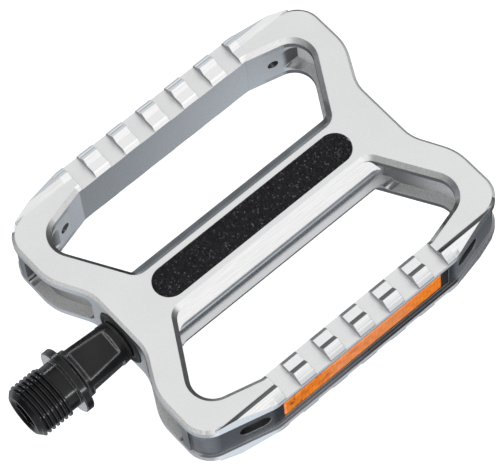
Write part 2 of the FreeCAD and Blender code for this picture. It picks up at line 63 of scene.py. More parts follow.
# ------------------------------------------------------------------ shader node helper
class Net:
    """Builds a shader node tree. Every call makes new nodes and returns an output socket."""

    def __init__(self, tree):
        self.tree = tree
        tree.nodes.clear()

    def put(self, socket, value):
        """Link a socket or set a constant. RGB colours get an alpha of 1."""
        if isinstance(value, bpy.types.NodeSocket):
            self.tree.links.new(value, socket)
        elif socket.type == "RGBA" and len(value) == 3:
            socket.default_value = tuple(value) + (1.0,)
        else:
            socket.default_value = value

    def node(self, kind, *values, **settings):
        """A node with its settings, and its first inputs filled in order."""
        node = self.tree.nodes.new(kind)
        for name, value in settings.items():
            setattr(node, name, value)
        for socket, value in zip(node.inputs, values):
            self.put(socket, value)
        return node

    def make(self, kind, *values, **settings):
        return self.node(kind, *values, **settings).outputs[0]

    def wire(self, node, **sockets):
        """Fill inputs by name: base_color stands for "Base Color"."""
        for name, value in sockets.items():
            self.put(node.inputs[name.replace("_", " ").title().replace("Ior", "IOR")], value)
        return node

    def math(self, operation, *values):
        return self.make("ShaderNodeMath", *values, operation=operation)

    def chain(self, operation, first, *others):
        for other in others:
            first = self.math(operation, first, other)
        return first

    def mul(self, *values):
        return self.chain("MULTIPLY", *values)

    def add(self, *values):
        return self.chain("ADD", *values)

    def most(self, *values):
        return self.chain("MAXIMUM", *values)

    def sub(self, first, second):
        return self.math("SUBTRACT", first, second)

    def invert(self, value):
        return self.sub(1.0, value)

    def abs(self, value):
        return self.math("ABSOLUTE", value)

    def radius(self, x, z):
        """Distance from the spindle axis."""
        return self.math("SQRT", self.add(self.mul(x, x), self.mul(z, z)))

    def vector(self, operation, *values):
        return self.make("ShaderNodeVectorMath", *values, operation=operation)

    def scaled(self, vector, scale):
        node = self.node("ShaderNodeVectorMath", vector, operation="SCALE")
        return self.wire(node, scale=scale).outputs["Vector"]

    def dot(self, first, second):
        node = self.node("ShaderNodeVectorMath", first, second, operation="DOT_PRODUCT")
        return node.outputs["Value"]

    def fade(self, value, off, on, to=(0.0, 1.0)):
        """Smooth step: to[0] where value is off, to[1] where it is on."""
        return self.make("ShaderNodeMapRange", value, off, on, *to,
                         interpolation_type="SMOOTHSTEP")

    def remap(self, value, span, to=(0.0, 1.0)):
        return self.make("ShaderNodeMapRange", value, *span, *to)

    def mix(self, factor, first, second):
        """Mix two colours."""
        node = self.node("ShaderNodeMix", factor, data_type="RGBA")
        self.put(node.inputs[6], first)
        self.put(node.inputs[7], second)
        return node.outputs[2]

    def mix_value(self, factor, first, second):
        node = self.node("ShaderNodeMix", factor, data_type="FLOAT")
        self.put(node.inputs[2], first)
        self.put(node.inputs[3], second)
        return node.outputs[0]

    def paint(self, colour, *layers):
        """Lay (mask, colour) layers over a colour, in order."""
        for mask, layer in layers:
            colour = self.mix(mask, colour, layer)
        return colour

    def paint_value(self, value, *layers):
        """Lay (mask, value) layers over a value, in order."""
        for mask, layer in layers:
            value = self.mix_value(mask, value, layer)
        return value

    def place(self):
        """Object coordinates, in metres."""
        return self.node("ShaderNodeTexCoord").outputs["Object"]

    def split(self, vector):
        return tuple(self.node("ShaderNodeSeparateXYZ", vector).outputs)

    def join(self, x=0.0, y=0.0, z=0.0):
        return self.make("ShaderNodeCombineXYZ", x, y, z)

    def noise(self, vector, scale, detail, rough, distortion=0.0):
        node = self.wire(self.node("ShaderNodeTexNoise"), vector=vector, scale=scale,
                         detail=detail, roughness=rough, distortion=distortion)
        return node.outputs["Fac"]

    def voronoi(self, vector, scale, feature="F1", output="Distance", randomness=1.0):
        node = self.wire(self.node("ShaderNodeTexVoronoi", feature=feature), vector=vector,
                         scale=scale, randomness=randomness)
        return node.outputs[output]

    def bump(self, height, strength, distance, **normal):
        node = self.wire(self.node("ShaderNodeBump"), height=height, strength=strength,
                         distance=distance, **normal)
        return node.outputs["Normal"]

    def bevel(self, radius, samples=4):
        node = self.node("ShaderNodeBevel", samples=samples)
        return self.wire(node, radius=radius).outputs["Normal"]

    def geometry(self, output):
        return self.node("ShaderNodeNewGeometry").outputs[output]

    def world_z(self):
        return self.split(self.geometry("Position"))[2]

    def object_normal(self):
        """True normal in object space, so masks turn with the part."""
        return self.make("ShaderNodeVectorTransform", self.geometry("True Normal"),
                         vector_type="NORMAL", convert_from="WORLD", convert_to="OBJECT")

    def edges(self, radius):
        """(mask that is 1 on edges and 0 on flats, bevelled normal)."""
        bevelled = self.bevel(radius)
        likeness = self.dot(bevelled, self.geometry("Normal"))
        return self.fade(likeness, off=0.985, on=0.86), bevelled

    def principled(self, **sockets):
        return self.wire(self.node("ShaderNodeBsdfPrincipled"), **sockets).outputs[0]


def material(name, build):
    made = bpy.data.materials.new(name)
    made.use_nodes = True
    net = Net(made.node_tree)
    net.node("ShaderNodeOutputMaterial", build(net))
    return made


# ------------------------------------------------------------------ alloy platform
# Limits on place are in metres, limits on normals are components from -1 to 1.
def alloy_masks(net, place):
    """Masks that pick out regions of the platform by place and by the way they face."""
    mask = SimpleNamespace()
    normal_x, normal_y, normal_z = net.split(net.object_normal())
    x, y, z = net.split(place)
    tilt = net.abs(normal_z)
    across = net.abs(x)
    along = net.abs(net.sub(y, PLATFORM_Y))
    height = net.abs(z)
    world_x, world_y, world_z = net.split(net.geometry("True Normal"))
    mask.x, mask.y, mask.across = x, y, across
    mask.world_y, mask.world_z = world_y, world_z

    def outward():
        """How far the normal points away from x = 0."""
        return net.mul(normal_x, net.math("SIGN", x))

    def below_plate():
        return net.fade(height, off=0.0060, on=0.0056)

    mask.flat = net.fade(tilt, off=0.985, on=0.998)
    mask.upright = net.fade(tilt, off=0.25, on=0.1)
    slope = net.mul(net.invert(mask.flat), net.invert(mask.upright))
    # slopes that face along the spindle stay blasted, the others are bright cut
    along_spindle = net.fade(net.sub(net.abs(normal_y), net.abs(normal_x)), off=-0.1, on=0.15)
    mask.cut = net.mul(slope, net.invert(along_spindle))
    mask.coarse = net.mul(slope, along_spindle)
    mask.tooth_top = net.mul(
        mask.flat, net.fade(across, off=0.0346, on=0.0350),
        net.fade(height, off=0.0082, on=0.0084), net.fade(along, off=0.0262, on=0.0256))
    # floor of the side channel and counterbores, painted darker as shade
    mask.deep = net.mul(
        below_plate(), net.mul(mask.upright, net.fade(across, off=0.0335, on=0.0352)),
        net.fade(outward(), off=0.3, on=0.7))
    # inside faces of the two plates, pocket ends, tooth flanks, painted darker as shade
    mask.inner = net.mul(mask.flat, net.fade(height, off=0.0066, on=0.0061))
    # painted shade: the shelf below the lens is painted nearly black
    mask.shelf = net.mul(
        net.mul(mask.inner, net.fade(across, off=0.0348, on=0.0360)),
        net.fade(along, off=0.0300, on=0.0285))
    # pocket ends, painted darker away from x = 0 as shade
    mask.pocket = net.mul(mask.upright, below_plate(), net.fade(along, off=0.036, on=0.038))
    mask.rail_top = net.mul(net.fade(across, off=0.0343, on=0.0347),
                            net.fade(along, off=0.0285, on=0.0280))
    # painted shade: the upright faces of the teeth are painted dark
    mask.flank = net.mul(mask.upright, net.fade(height, off=0.0072, on=0.0074), mask.rail_top)
    # painted reflection: the inner slope of each tooth is painted dark, standing for the shadow
    # under the web that it mirrors
    mask.rise = net.mul(
        mask.cut, net.fade(height, off=0.0085, on=0.0086),
        net.fade(world_x, off=-0.4, on=-0.58), net.fade(outward(), off=-0.4, on=-0.55))
    # oblong counterbores and the holes behind them, painted dark as shade; reach follows the
    # tapering outline
    overrun = net.most(net.sub(along, 0.0285), 0.0)
    reach = net.add(across, net.mul(overrun, 0.27))
    mask.bore = net.mul(
        net.fade(reach, off=0.0406, on=0.0404), net.fade(reach, off=0.0354, on=0.0360),
        net.mul(net.fade(height, off=0.0026, on=0.0023), net.fade(along, off=0.0282, on=0.0286)))
    # softened outer edges of the plates along the rails
    mask.strip = net.mul(mask.upright, net.fade(height, off=0.0057, on=0.0059),
                         net.fade(reach, off=0.0409, on=0.0412))
    # falling side of a tooth, towards the lip, painted darker low down as shade
    mask.fall_low = net.mul(
        net.mul(mask.cut, mask.rail_top, net.fade(outward(), off=0.35, on=0.5)),
        net.fade(height, off=0.0095, on=0.0080))
    # plate edge between window chamfer and beam pocket; where it faces inwards it is painted
    # nearly black as the shadow under the chamfer, darkest below z = 0
    mask.sill = net.mul(
        mask.upright, net.fade(height, off=0.0056, on=0.0058),
        net.fade(along, off=0.0300, on=0.0320), net.fade(reach, off=0.0395, on=0.0385))
    mask.inward = net.fade(
        net.mul(normal_y, net.math("SIGN", net.sub(y, PLATFORM_Y))), off=-0.2, on=-0.5)
    mask.sill_low = net.mul(mask.sill, mask.inward,
                            net.fade(net.world_z(), off=0.001, on=-0.001))
    # beam walls facing inwards, painted darker towards x = 0 as shade
    mask.beam_in = net.mul(mask.upright, below_plate(),
                           net.fade(along, off=0.031, on=0.033), mask.inward)
    mask.beam_floor = net.mul(mask.inner, net.fade(along, off=0.0310, on=0.0330),
                              net.fade(reach, off=0.0395, on=0.0385))
    # turned barrel seen under the ledge, and the short wall above it
    web = net.mul(
        net.fade(across, off=0.0097, on=0.0095),
        net.mul(net.fade(height, off=0.0053, on=0.0051), net.fade(along, off=0.0345, on=0.0330)))
    mask.wall_up = net.mul(web, mask.upright, net.fade(height, off=0.0041, on=0.0043),
                           net.fade(net.world_z(), off=-0.001, on=0.001))
    mask.barrel = net.mul(web, net.fade(height, off=0.0044, on=0.0041))
    mask.barrel_lean = net.mul(mask.barrel, net.add(
        net.fade(world_z, off=0.02, on=0.28, to=(0.0, 0.30)),
        net.fade(world_z, off=-0.30, on=-0.38, to=(0.0, 0.6))))
    mask.ledge_back = net.mul(
        net.mul(net.fade(x, off=-0.0068, on=-0.0074), net.fade(across, off=0.0128, on=0.0120)),
        net.mul(net.fade(along, off=0.0345, on=0.0330), net.invert(mask.flat)))
    mask.rim_edge = net.mul(mask.coarse, net.invert(mask.inward))
    mask.rugged = net.mul(
        net.most(net.most(mask.coarse, mask.beam_in),
                 net.most(net.mul(mask.pocket, 0.9), mask.sill, mask.beam_floor)),
        net.invert(mask.barrel))
    mask.edge, mask.bevelled = net.edges(radius=0.00016)
    return mask


def alloy_textures(net, place):
    x, y, z = net.split(place)

    def stretched(across, along, upward):
        return net.join(net.mul(x, across), net.mul(y, along), net.mul(z, upward))

    return SimpleNamespace(
        speck=net.noise(place, scale=5200.0, detail=2.0, rough=0.7),
        grain=net.noise(place, scale=1900.0, detail=3.0, rough=0.6),
        blast=net.noise(place, scale=2600.0, detail=3.0, rough=0.75),
        cloud=net.noise(place, scale=90.0, detail=3.0, rough=0.5),
        streak=net.noise(stretched(5200.0, 120.0, 5200.0), scale=1.0, detail=3.0, rough=0.65),
        mill=net.noise(stretched(60.0, 60.0, 9000.0), scale=1.0, detail=2.0, rough=0.6))


def alloy_brightness(net, mask, texture):
    mottle = net.mul(net.remap(texture.speck, span=(0.2, 0.8), to=(0.93, 1.05)),
                     net.remap(texture.grain, span=(0.25, 0.75), to=(0.97, 1.025)),
                     net.remap(texture.cloud, span=(0.25, 0.75), to=(0.975, 1.02)))
    streaked = net.remap(texture.streak, span=(0.25, 0.75), to=(0.84, 1.04))
    blasted = net.remap(texture.blast, span=(0.30, 0.70), to=(0.74, 1.12))
    surface = net.paint_value(mottle, (mask.cut, streaked), (mask.rugged, blasted))
    # painted shade and light: darker behind the ledge, brighter cuts on the -X rail, darker
    # inward slopes facing +Y
    ledge = net.invert(net.mul(mask.ledge_back, 0.42))
    rail = net.add(1.0, net.mul(mask.cut, mask.rail_top,
                                net.fade(mask.x, off=0.01, on=-0.01, to=(0.0, 0.12))))
    inward = net.invert(net.mul(mask.coarse, mask.inward,
                                net.fade(mask.world_y, off=0.2, on=0.45, to=(0.0, 0.45))))
    return net.mul(surface, ledge, rail, inward)


def alloy_colour(net, mask, brightness):
    # painted shade on the shelf, stronger towards high y
    shelf = net.mul(mask.shelf, net.fade(mask.y, off=0.042, on=0.068, to=(0.2, 0.95)))
    # painted shade and light: pocket ends are painted darker away from x = 0, beam walls
    # brighter away from x = 0
    pocket = net.mix(net.fade(mask.across, off=0.013, on=0.027),
                     (0.66, 0.66, 0.66), (0.26, 0.265, 0.275))
    beam_wall = net.mix(net.fade(mask.across, off=0.011, on=0.023),
                        (0.26, 0.26, 0.265), (0.93, 0.93, 0.93))
    colour = net.paint(
        (0.90, 0.90, 0.902),
        (mask.upright, (0.70, 0.72, 0.745)),
        (mask.coarse, (0.70, 0.70, 0.70)),
        # painted shade on the inside faces of the plates
        (mask.inner, (0.40, 0.405, 0.415)),
        # painted shade on the shelf below the lens
        (shelf, (0.08, 0.08, 0.085)),
        # painted shade on the pocket ends
        (mask.pocket, pocket),
        (mask.beam_floor, (0.86, 0.86, 0.855)),
        # painted shade and light on the beam walls
        (mask.beam_in, beam_wall),
        # painted shadow under the chamfer
        (net.mul(mask.sill, mask.inward), (0.15, 0.15, 0.155)),
        # painted shade, a little darker on the lower sill
        (mask.sill_low, (0.13, 0.13, 0.135)),
        (mask.barrel, (0.86, 0.87, 0.885)),
        (mask.wall_up, (0.86, 0.87, 0.885)),
        # painted shade low on the falling side of the teeth
        (mask.fall_low, (0.70, 0.715, 0.73)),
        # painted shade in the counterbores
        (mask.bore, (0.22, 0.22, 0.23)),
        # painted shade on the tooth flanks
        (net.mul(mask.flank, 0.85), (0.24, 0.24, 0.25)),
        # painted reflection of the shadow under the web
        (net.mul(mask.rise, 0.92), (0.15, 0.15, 0.15)),
        # painted shade in the side channel and counterbores
        (net.mul(mask.deep, 0.85), (0.30, 0.315, 0.35)))
    # lighter edges: part wear, part painted highlight
    return net.paint(net.scaled(colour, brightness),
                     (net.mul(mask.edge, 0.55), (0.96, 0.96, 0.965)))


def alloy_roughness(net, mask, texture):
    rough = net.paint_value(0.17, (mask.flat, 0.40), (mask.upright, 0.28),
                            (mask.rugged, 0.38), (mask.tooth_top, 0.13))
    rough = net.add(rough, net.remap(texture.grain, span=(0.2, 0.8), to=(-0.03, 0.04)))
    return net.mix_value(net.mul(mask.edge, 0.7), rough, 0.2)


def alloy_normal(net, mask, texture):
    # speck is weaker off the flats and almost polished away on the tooth tops
    relief = net.add(
        net.mul(texture.speck, net.mix_value(mask.flat, 0.35, 1.0),
                net.mix_value(mask.tooth_top, 1.0, 0.15)),
        net.mul(texture.mill, net.mul(mask.upright, 0.7)),
        net.mul(texture.streak, net.mul(mask.cut, 0.8)),
        net.mul(texture.blast, net.mul(mask.rugged, 3.2)))
    # the strips are slightly rounded, so they lean upwards; the barrel top leans outwards
    upward = net.add(
        net.add(mask.strip, net.mul(mask.beam_in, 0.9)),
        net.add(net.mul(mask.rim_edge, 2.2),
                net.add(net.mul(mask.barrel_lean, 2.2), net.mul(mask.wall_up, 0.7))))
    lean = net.scaled((0.0, 0.0, 0.45), upward)
    outward = net.mul(net.mul(net.math("SIGN", mask.x), 0.9),
                      net.mul(mask.barrel, net.fade(mask.world_z, off=0.55, on=0.8)))
    leaning = net.vector("ADD", net.vector("ADD", mask.bevelled, lean), net.join(x=outward))
    return net.bump(relief, strength=0.22, distance=0.00004,
                    normal=net.vector("NORMALIZE", leaning))


def alloy(net):
    """Bead-blasted, clear-anodised aluminium, with bright cut slopes and polished tooth tops."""
    place = net.place()
    mask = alloy_masks(net, place)
    texture = alloy_textures(net, place)
    # blasted hollows scatter more light than the cut faces
    hollow = net.most(mask.beam_in, mask.beam_floor)
    return net.principled(
        base_color=alloy_colour(net, mask, alloy_brightness(net, mask, texture)),
        metallic=net.invert(net.mul(hollow, 0.62)),
        roughness=alloy_roughness(net, mask, texture),
        normal=alloy_normal(net, mask, texture))


# ------------------------------------------------------------------ other materials
def black_steel(net):
    """Black oxide on forged and turned steel, with the seat face of the collar left bright."""
    place = net.place()
    x, y, z = net.split(place)
    normal_y = net.split(net.object_normal())[1]
    radius = net.radius(x, z)
    face = net.mul(net.fade(normal_y, off=-0.9, on=-0.97),
                   net.fade(net.abs(y), off=0.0003, on=0.0001),
                   net.fade(radius, off=0.0062, on=0.0066))
    rings = net.noise(net.join(x=net.mul(radius, 9000.0)), scale=1.0, detail=2.0, rough=0.7)
    turning = net.noise(net.join(y=net.mul(y, 7000.0), z=net.mul(radius, 900.0)),
                        scale=1.0, detail=2.0, rough=0.6)
    forged = net.noise(place, scale=700.0, detail=4.0, rough=0.65)
    patch = net.noise(place, scale=150.0, detail=3.0, rough=0.5)
    fine = net.noise(place, scale=3600.0, detail=2.0, rough=0.6)
    shank = net.mul(net.fade(y, off=0.0024, on=0.0034), net.fade(y, off=0.0172, on=0.0165))
    edge, bevelled = net.edges(radius=0.00018)
    # the forged shank has generously rounded ridges between its flats
    ridged = net.mul(net.fade(y, off=0.0026, on=0.0036), net.fade(y, off=0.0172, on=0.0165))
    soft = net.bevel(radius=0.0008, samples=8)
    rounded = net.vector("NORMALIZE", net.vector(
        "ADD", net.scaled(soft, ridged), net.scaled(bevelled, net.invert(ridged))))
    # painted highlight: the rounded ridges are painted lighter and more metallic
    painted_ridge_highlight = net.mul(net.fade(net.dot(soft, net.geometry("Normal")), off=0.998, on=0.955),
                    ridged, net.remap(forged, span=(0.3, 0.7), to=(0.55, 0.95)))

    # bare metal shows on worn edges, and the lighter edges are also a painted highlight; less so
    # on the stretch at negative y
    wear_and_highlight = net.mul(edge, net.remap(forged, span=(0.35, 0.65), to=(0.25, 0.9)))
    crank_stretch = net.mul(net.fade(y, off=-0.0024, on=-0.0034),
                            net.fade(y, off=-0.0116, on=-0.0111))
    bright = net.mix(net.remap(rings, span=(0.3, 0.7)), (0.66, 0.66, 0.67), (0.86, 0.86, 0.87))
    colour = net.paint(
        (0.004, 0.004, 0.0045),
        (net.remap(patch, span=(0.3, 0.7)), (0.012, 0.012, 0.013)),
        # worn edges with a painted highlight
        (net.mul(wear_and_highlight, net.mix_value(crank_stretch, 0.95, 0.25)), (0.52, 0.52, 0.53)),
        # painted highlight on the ridges
        (net.mul(painted_ridge_highlight, 0.8), (0.34, 0.34, 0.35)),
        (face, bright))
    rough = net.paint_value(
        net.add(0.15, net.remap(fine, span=(0.2, 0.8), to=(-0.03, 0.06))),
        (shank, net.remap(forged, span=(0.3, 0.7), to=(0.20, 0.32))),
        (face, 0.24))
    metal = net.mix_value(face, net.most(net.mul(wear_and_highlight, 0.6), net.mul(painted_ridge_highlight, 0.8)), 1.0)
    relief = net.add(net.mul(forged, net.mul(shank, 1.6)),
                     net.mul(turning, net.mix_value(shank, 0.5, 0.12)))
    relief = net.mix_value(face, relief, net.mul(rings, 1.2))
    return net.principled(
        base_color=colour, metallic=metal, roughness=rough,
        normal=net.bump(relief, strength=0.30, distance=0.00005, normal=rounded),
        specular_ior_level=0.26, coat_weight=0.05, coat_roughness=0.10)


def turned(base, rough, groove, cloudiness=0.03):
    """Lathe-turned metal; groove is the frequency of the tool marks."""
    def build(net):
        place = net.place()
        x, y, z = net.split(place)
        radius = net.radius(x, z)
        rings = net.noise(net.join(x=net.mul(radius, groove), y=net.mul(y, groove)),
                          scale=1.0, detail=2.0, rough=0.7)
        fine = net.noise(place, scale=4200.0, detail=2.0, rough=0.6)
        cloud = net.noise(place, scale=300.0, detail=2.0, rough=0.5)
        edge, bevelled = net.edges(radius=0.0001)
        brightness = net.mul(
            net.remap(rings, span=(0.25, 0.75), to=(0.90, 1.06)),
            net.remap(cloud, span=(0.25, 0.75), to=(1.0 - cloudiness, 1.0 + cloudiness)))
        # lighter edges: part wear, part painted highlight
        edge_colour = tuple(min(1.0, channel * 1.25 + 0.05) for channel in base)
        return net.principled(
            base_color=net.mix(net.mul(edge, 0.5), net.scaled(base, brightness), edge_colour),
            metallic=1.0,
            roughness=net.add(rough, net.mul(net.sub(fine, 0.5), 0.12)),
            normal=net.bump(net.add(rings, net.mul(fine, 0.25)),
                            strength=0.28, distance=0.00003, normal=bevelled))
    return build


def rubber(net):
    place = net.place()
    x, y, z = net.split(place)
    radius = net.radius(x, z)
    fine = net.noise(place, scale=3000.0, detail=3.0, rough=0.6)
    dust = net.noise(place, scale=420.0, detail=4.0, rough=0.6)
    rings = net.noise(net.join(x=net.mul(radius, 3500.0)), scale=1.0, detail=1.0, rough=0.5)
    edge, bevelled = net.edges(radius=0.00012)
    colour = net.paint(
        (0.012, 0.012, 0.013),
        (net.remap(dust, span=(0.4, 0.75)), (0.026, 0.026, 0.027)),
        # lighter edges: part wear, part painted highlight
        (net.mul(edge, 0.25), (0.06, 0.06, 0.062)))
    return net.principled(
        base_color=colour, specular_ior_level=0.45,
        roughness=net.remap(fine, span=(0.25, 0.75), to=(0.44, 0.62)),
        normal=net.bump(net.add(fine, net.mul(rings, 0.5)),
                        strength=0.22, distance=0.00004, normal=bevelled))


def moulded(dark, light, scale=2600.0):
    """Moulded plastic; scale is the frequency of its fine grain."""
    def build(net):
        place = net.place()
        fine = net.noise(place, scale=scale, detail=3.0, rough=0.6)
        pits = net.voronoi(place, scale=scale * 0.6)
        cloud = net.noise(place, scale=260.0, detail=3.0, rough=0.5)
        edge, bevelled = net.edges(radius=0.0001)
        # lighter edges: part wear, part painted highlight
        edge_colour = tuple(min(1.0, channel * 3) for channel in light)
        return net.principled(
            base_color=net.paint(dark, (net.remap(cloud, span=(0.3, 0.7)), light),
                                 (net.mul(edge, 0.3), edge_colour)),
            roughness=net.remap(fine, span=(0.25, 0.75), to=(0.42, 0.58)),
            normal=net.bump(net.add(fine, net.mul(pits, 0.6)),
                            strength=0.25, distance=0.00004, normal=bevelled))
    return build


def bronze(net):
    """Porous bronze with a film of oil."""
    place = net.place()
    y = net.split(place)[1]
    pores = net.voronoi(place, scale=2600.0)
    oil = net.noise(place, scale=420.0, detail=4.0, rough=0.6)
    rings = net.noise(net.join(x=net.mul(y, 6000.0)), scale=1.0, detail=2.0, rough=0.6)
    edge, bevelled = net.edges(radius=0.0001)
    pit = net.fade(pores, off=0.22, on=0.08)
    colour = net.paint(
        (0.52, 0.34, 0.15),
        (net.remap(oil, span=(0.3, 0.7)), (0.68, 0.47, 0.23)),
        (pit, (0.13, 0.08, 0.04)),
        # lighter edges: part wear, part painted highlight
        (net.mul(edge, 0.4), (0.82, 0.62, 0.36)))
    return net.principled(
        base_color=colour, metallic=1.0,
        roughness=net.add(net.remap(oil, span=(0.3, 0.7), to=(0.26, 0.42)),
                          net.mul(pit, 0.25)),
        normal=net.bump(net.sub(net.mul(rings, 0.5), pit),
                        strength=0.3, distance=0.00003, normal=bevelled))


def ball(net):
    place = net.place()
    scratches = net.noise(place, scale=5200.0, detail=2.0, rough=0.7)
    film = net.noise(place, scale=900.0, detail=3.0, rough=0.5)
    return net.principled(
        base_color=net.mix(net.remap(film, span=(0.35, 0.65)),
                           (0.74, 0.745, 0.75), (0.88, 0.885, 0.89)),
        metallic=1.0,
        roughness=net.remap(scratches, span=(0.3, 0.7), to=(0.04, 0.10)),
        normal=net.bump(scratches, strength=0.08, distance=0.00001))


def grit(net):
    """Black silicon carbide in resin: nearly black, with hard glassy facets on tall grains."""
    place = net.place()
    tone, glint, gloss = net.split(net.voronoi(place, scale=2600.0, output="Color"))
    fine = net.noise(place, scale=6500.0, detail=2.0, rough=0.7)
    dust = net.noise(place, scale=260.0, detail=4.0, rough=0.6)
    tall = net.node("ShaderNodeAttribute", attribute_name="grit_height").outputs["Fac"]
    colour = net.paint(
        (0.005, 0.0046, 0.006),
        (tone, (0.014, 0.0135, 0.016)),
        (net.mul(net.fade(glint, off=0.88, on=0.94), tall), (0.20, 0.19, 0.24)),
        (net.mul(net.fade(dust, off=0.58, on=0.78), 0.25), (0.07, 0.068, 0.072)))
    glassy = net.mul(tall, net.fade(gloss, off=0.45, on=0.75))
    return net.principled(
        base_color=colour, specular_ior_level=0.36,
        roughness=net.mix_value(glassy, 0.60, 0.13),
        normal=net.bump(fine, strength=0.25, distance=0.00003))


def lens(net):
    """Amber acrylic, with the prisms behind it as mesh. Darker cell lines and patches are
    painted shade standing for their walls, and the lens glows with painted light standing for
    what they send back."""
    acrylic_ior = 1.49
    place = net.place()
    _, y, z = net.split(place)
    haze = net.noise(place, scale=500.0, detail=3.0, rough=0.5)
    scratches = net.noise(place, scale=3800.0, detail=2.0, rough=0.7)
    face = net.join(y, z)
    tone, shine, _ = net.split(net.voronoi(face, scale=900.0, output="Color", randomness=0.25))
    wall = net.voronoi(face, scale=900.0, feature="DISTANCE_TO_EDGE", randomness=0.25)
    blot = net.noise(face, scale=330.0, detail=4.0, rough=0.65, distortion=0.6)
    near = net.fade(y, off=0.070, on=0.036, to=(0.15, 1.0))

    # painted shade: dark patches standing for the prism walls, strongest towards low y
    def painted_wall_shade():
        return net.mul(net.fade(blot, off=0.52, on=0.66), near)

    glass = net.principled(
        base_color=net.mix(net.remap(haze, span=(0.3, 0.7)),
                           (1.0, 0.36, 0.045), (1.0, 0.48, 0.10)),
        transmission_weight=1.0, ior=acrylic_ior,
        roughness=net.remap(scratches, span=(0.3, 0.7), to=(0.015, 0.05)),
        normal=net.bump(scratches, strength=0.04, distance=0.00001))
    # painted highlight: a paler patch painted over the middle of the lens, standing for a
    # reflection
    painted_highlight = net.mul(net.fade(y, off=0.044, on=0.052), net.fade(y, off=0.079, on=0.069))
    amber = net.paint(
        (1.0, 0.25, 0.008),
        (tone, (1.0, 0.40, 0.030)),
        # painted shade: darker cell lines standing for the prism walls
        (net.fade(wall, off=0.10, on=0.02, to=(0.0, 0.30)), (0.60, 0.09, 0.008)),
        # painted shade: darker patches
        (painted_wall_shade(), (0.42, 0.07, 0.012)),
        # painted highlight over the middle of the lens
        (net.mul(painted_highlight, net.remap(haze, span=(0.3, 0.7), to=(0.50, 0.72))), (0.98, 0.44, 0.20)))
    # painted light: the lens glows, standing for the light the prisms send back
    glow = net.mul(net.remap(shine, span=(0.0, 1.0), to=(0.30, 0.50)),
                   net.fade(wall, off=0.0, on=0.12, to=(0.6, 1.0)),
                   net.invert(net.mul(painted_wall_shade(), 0.75)))
    body = net.principled(
        base_color=amber, roughness=0.22, ior=acrylic_ior, coat_weight=1.0,
        coat_roughness=0.04, emission_color=amber, emission_strength=glow)
    body_share = 0.74
    return net.make("ShaderNodeMixShader", body_share, glass, body)


MATERIALS = {
    "blasted_alloy": material("blasted_alloy", alloy),
    "grip_tape": material("grip_grit", grit),
    "reflector_backing": material("reflector_backing", moulded(
        dark=(0.010, 0.010, 0.011), light=(0.024, 0.024, 0.026))),
    "amber_lens": material("amber_lens", lens),
    "black_steel": material("black_steel", black_steel),
    "seal_rubber": material("seal_rubber", rubber),
    "bush_bronze": material("bush_bronze", bronze),
    "turned_steel": material("turned_steel", turned(
        base=(0.60, 0.60, 0.62), rough=0.30, groove=8000.0)),
    "bearing_steel": material("bearing_steel", turned(
        base=(0.66, 0.665, 0.68), rough=0.16, groove=12000.0, cloudiness=0.015)),
    "ball_steel": material("ball_steel", ball),
    "cage_plastic": material("cage_plastic", moulded(
        dark=(0.05, 0.05, 0.055), light=(0.10, 0.10, 0.105), scale=3400.0)),
    "cap_alloy": material("cap_alloy", turned(
        base=(0.74, 0.745, 0.755), rough=0.26, groove=6500.0)),
}

slot_of = {part["node"]: part["material_slot"] for part in frame["record"]["subparts"]}
for name, part in frame["nodes"].items():
    part.data.materials.clear()
    part.data.materials.append(MATERIALS[slot_of[name]])


# ------------------------------------------------------------------ mesh helpers
def new_piece(name, verts, faces, slot, smooth=False):
    mesh = bpy.data.meshes.new(name)
    mesh.from_pydata([tuple(map(float, vert)) for vert in verts], [],
                     [tuple(map(int, face)) for face in faces])
    mesh.validate()
    mesh.update()
    mesh.materials.append(MATERIALS[slot])
    mesh.polygons.foreach_set("use_smooth", [smooth] * len(mesh.polygons))
    piece = bpy.data.objects.new(name, mesh)
    bpy.context.scene.collection.objects.link(piece)
    return piece


def fit_piece(piece, node):
    """Turn the faces outwards and put the piece in place of a CAD node on the platform."""
    bm = bmesh.new()
    bm.from_mesh(piece.data)
    bmesh.ops.recalc_face_normals(bm, faces=bm.faces)
    bm.to_mesh(piece.data)
    bm.free()
    piece.data.update()
    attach(piece, "platform")
    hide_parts(node)


def sheet_solid(top, base):
    """Closed solid from a grid of top points and a matching grid of base points."""
    rows, cols = top.shape[:2]
    count = rows * cols
    verts = np.concatenate([top.reshape(count, 3), base.reshape(count, 3)])
    index = np.arange(count).reshape(rows, cols)
    corners = [index[:-1, :-1], index[1:, :-1], index[1:, 1:], index[:-1, 1:]]
    faces = np.stack(corners, -1).reshape(-1, 4).tolist()
    faces += (np.stack(corners[::-1], -1).reshape(-1, 4) + count).tolist()
    rim = [*index[0, :], *index[1:, -1], *index[-1, -2::-1], *index[-2:0:-1, 0]]
    for start, end in zip(rim, rim[1:] + rim[:1]):
        faces.append([start, end, end + count, start + count])
    return verts, faces


# ------------------------------------------------------------------ grip tape: mesh grit, in mm
GRAIN_CELL = 0.40                # spacing of the grains
GRAIN_HEIGHTS = (0.10, 0.40)
GRAIN_FACETS = 5
GRAIN_FIELD = (10, 64)           # area sown with grains, plus a few spare cells
SPARE_CELLS = 8
TAPE_STEP = 0.115                # mesh spacing
TAPE_END_GAP = 0.04
TAPE_MIN_HALF = 0.25             # half width at the tips of the rounded ends
FILM = 0.20                      # film thickness under the grit
BARE_EDGE = 0.22                 # the grit thins out over this border
GRIT_RELIEF = 0.95


